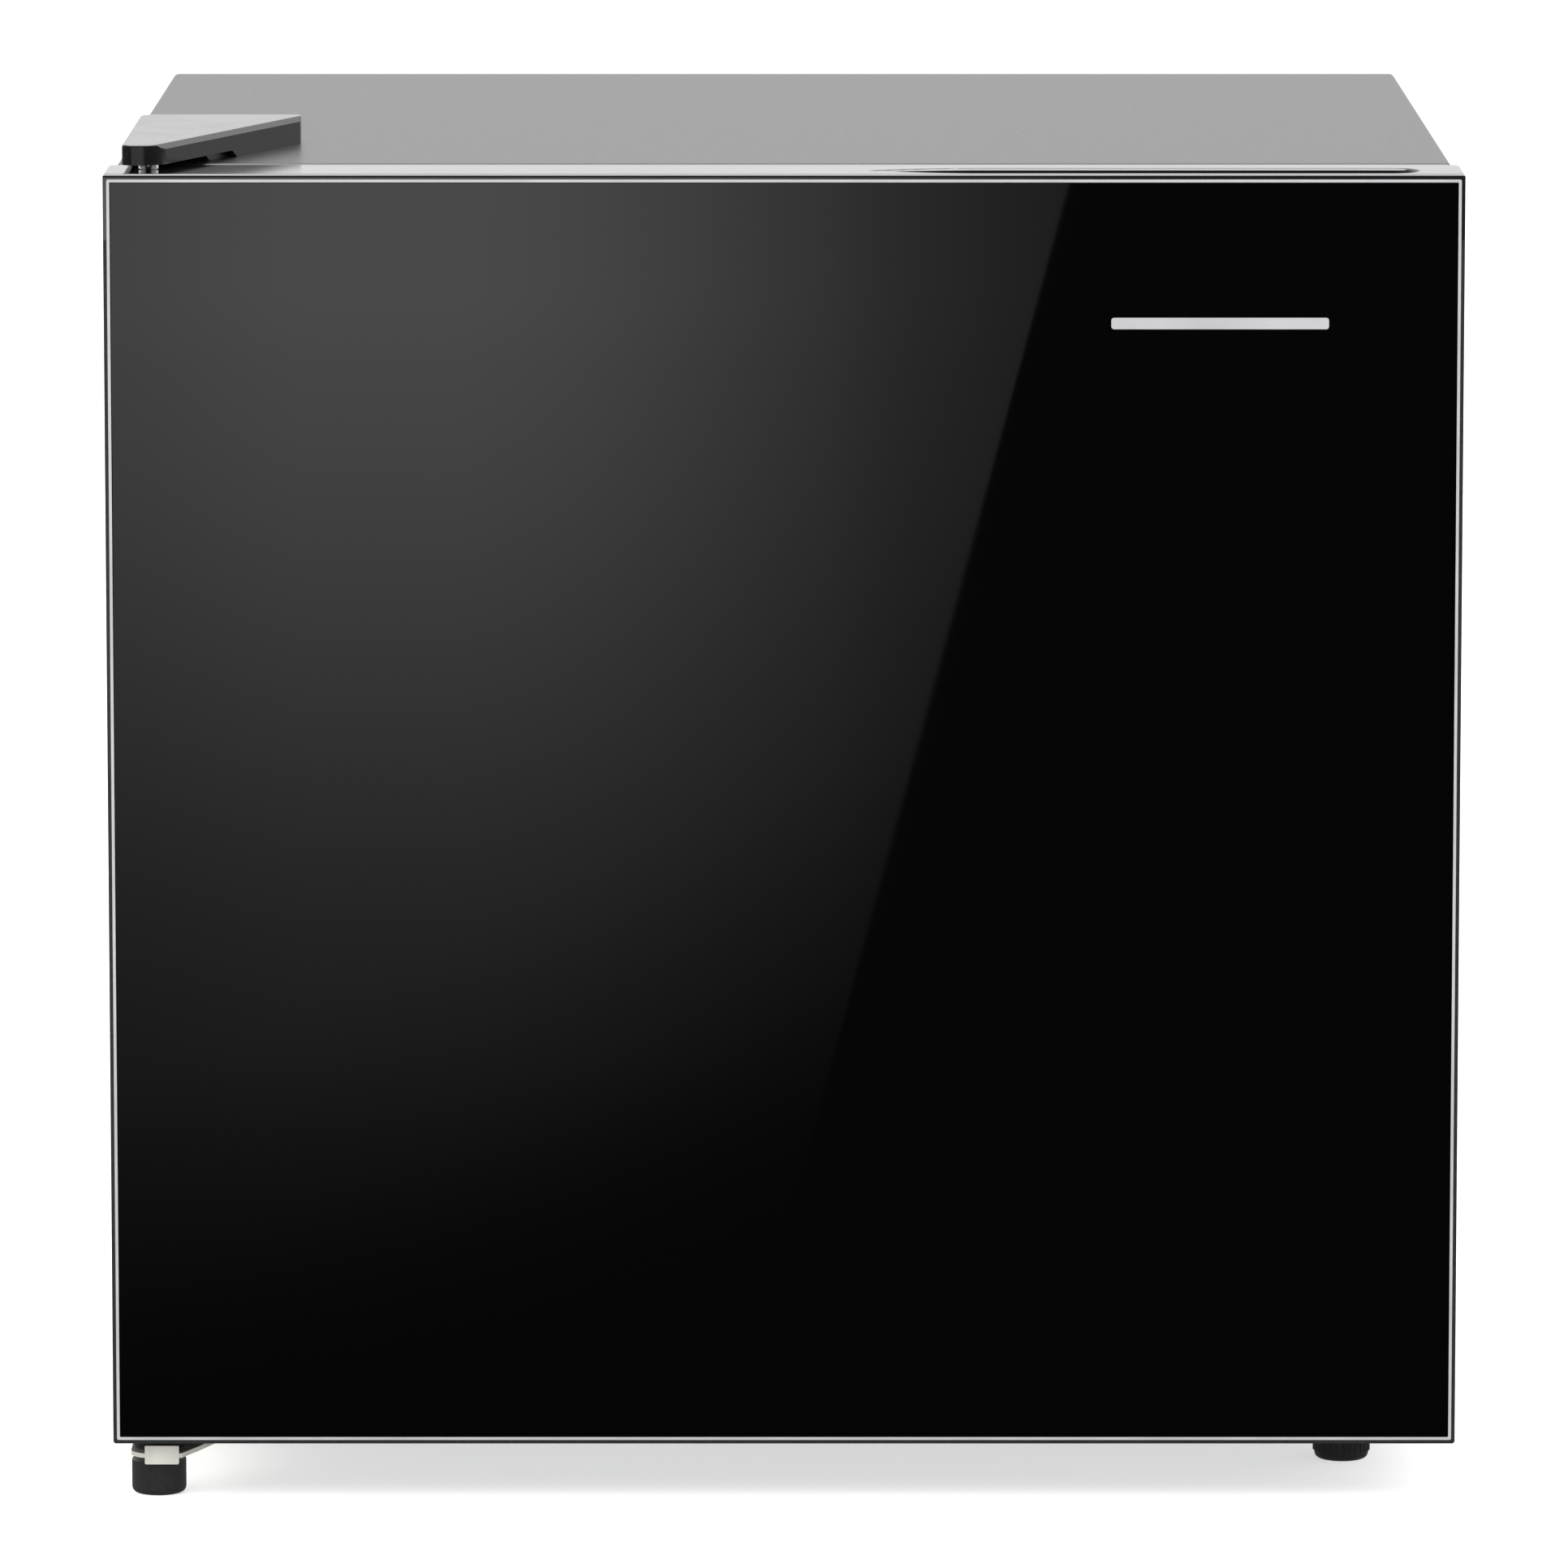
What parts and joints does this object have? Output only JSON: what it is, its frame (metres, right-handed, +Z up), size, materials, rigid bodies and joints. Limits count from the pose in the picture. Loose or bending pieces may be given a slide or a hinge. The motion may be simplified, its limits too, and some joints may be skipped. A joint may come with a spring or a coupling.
{
  "type": "mini fridge",
  "caption": "Cube-shaped compact refrigerator with a left-hung black glass door, wire shelf, small chiller compartment with flap and drip tray, door racks and levelling feet.",
  "frame": {"origin": "on the floor under the middle of the closed object's bounding box", "axes": "+Z up, +X to the right of someone facing the door, +Y to the back; the door's face looks along -Y"},
  "size_m": [0.472, 0.45, 0.478],
  "materials": {
    "painted_steel": "fine-textured black paint",
    "galvanised_steel": "galvanised sheet",
    "zinc_plate": "zinc-plated steel",
    "chromed_steel": "polished chrome",
    "foam": "rigid polyurethane foam",
    "white_plastic": "white moulded polystyrene",
    "clear_plastic": "clear polystyrene",
    "black_plastic": "satin black plastic",
    "gloss_black_plastic": "gloss black plastic",
    "black_glass": "tempered glass with a black back coat",
    "bright_strip": "satin bright strip",
    "grey_rubber": "soft dark grey PVC",
    "black_rubber": "black rubber",
    "magnet": "bonded ferrite strip",
    "aluminium": "bright roll-bonded aluminium",
    "compressor_paint": "gloss black paint",
    "copper": "copper",
    "black_wire": "black enamel",
    "white_wire": "white plastic-coated steel wire"
  },
  "bodies": {
    "cabinet": {"cabinet_wrap": "painted_steel", "bottom_pan": "galvanised_steel", "rear_panel": "painted_steel", "panel_screws": "zinc_plate", "cabinet_foam": "foam", "inner_liner": "white_plastic", "top_hinge_bracket": "painted_steel", "top_hinge_pin": "chromed_steel", "hinge_cover": "black_plastic", "lower_hinge_bracket": "zinc_plate", "lower_hinge_pin": "zinc_plate", "lower_pin_nut": "zinc_plate", "chassis_screws": "zinc_plate", "front_foot_nut": "zinc_plate", "rear_feet": "black_rubber", "compressor_rail": "galvanised_steel", "compressor_grommets": "black_rubber", "compressor_bolts": "zinc_plate", "compressor_lower_shell": "compressor_paint", "compressor_upper_shell": "compressor_paint", "terminal_cover": "black_plastic", "power_inlet_gland": "black_rubber", "condenser_coil": "black_wire", "condenser_wires": "black_wire", "condenser_clips": "black_plastic", "wall_spacers": "black_plastic", "discharge_line": "copper", "suction_line": "copper", "filter_drier": "copper", "capillary_tube": "copper", "chiller_box": "aluminium", "chiller_hangers": "white_plastic", "chiller_frame": "white_plastic", "tray_rails": "white_plastic", "thermostat_housing": "white_plastic", "thermostat_control": "zinc_plate"},
    "door": {"door_frame": "black_plastic", "door_top_cap": "gloss_black_plastic", "door_glass": "black_glass", "glass_trim": "bright_strip", "blank_badge": "bright_strip", "door_foam": "foam", "door_liner": "white_plastic", "door_gasket": "grey_rubber", "gasket_magnets": "magnet", "door_top_bushing": "black_plastic", "door_bottom_bushing": "black_plastic", "lower_rack": "white_plastic", "lower_rack_rail": "chromed_steel", "upper_rack": "white_plastic", "upper_rack_rail": "chromed_steel"},
    "freezer_flap": {"chiller_flap": "white_plastic", "flap_pin": "chromed_steel"},
    "tray": {"drip_tray": "clear_plastic"},
    "shelf": {"wire_shelf": "white_wire"},
    "knob": {"thermostat_knob": "white_plastic", "thermostat_shaft": "zinc_plate"},
    "left_leveller": {"left_foot": "black_plastic"},
    "right_leveller": {"right_foot": "black_plastic", "right_foot_stud": "zinc_plate"}
  },
  "joints": [
    {"name": "door_hinge", "type": "hinge", "parent": "cabinet", "child": "door", "pos_m": [-0.221, -0.206, 0.245], "axis": [0, 0, -1], "range_deg": [0, 120]},
    {"name": "freezer_flap_hinge", "type": "hinge", "parent": "cabinet", "child": "freezer_flap", "pos_m": [-0.0475, -0.061, 0.424], "axis": [-1, 0, 0], "range_deg": [0, 85]},
    {"name": "drip_tray_slide", "type": "slide", "parent": "cabinet", "child": "tray", "axis": [0, -1, 0], "range_m": [0, 0.09]},
    {"name": "shelf_slide", "type": "slide", "parent": "cabinet", "child": "shelf", "axis": [0, -1, 0], "range_m": [0, 0.085]},
    {"name": "thermostat_turn", "type": "hinge", "parent": "cabinet", "child": "knob", "pos_m": [0.147, -0.15, 0.411], "axis": [0, -1, 0], "range_deg": [-150, 150]},
    {"name": "left_foot_screw", "type": "slide", "parent": "cabinet", "child": "left_leveller", "axis": [0, 0, -1], "range_m": [-0.002, 0.004]},
    {"name": "right_foot_screw", "type": "slide", "parent": "cabinet", "child": "right_leveller", "axis": [0, 0, -1], "range_m": [-0.002, 0.004]}
  ]
}
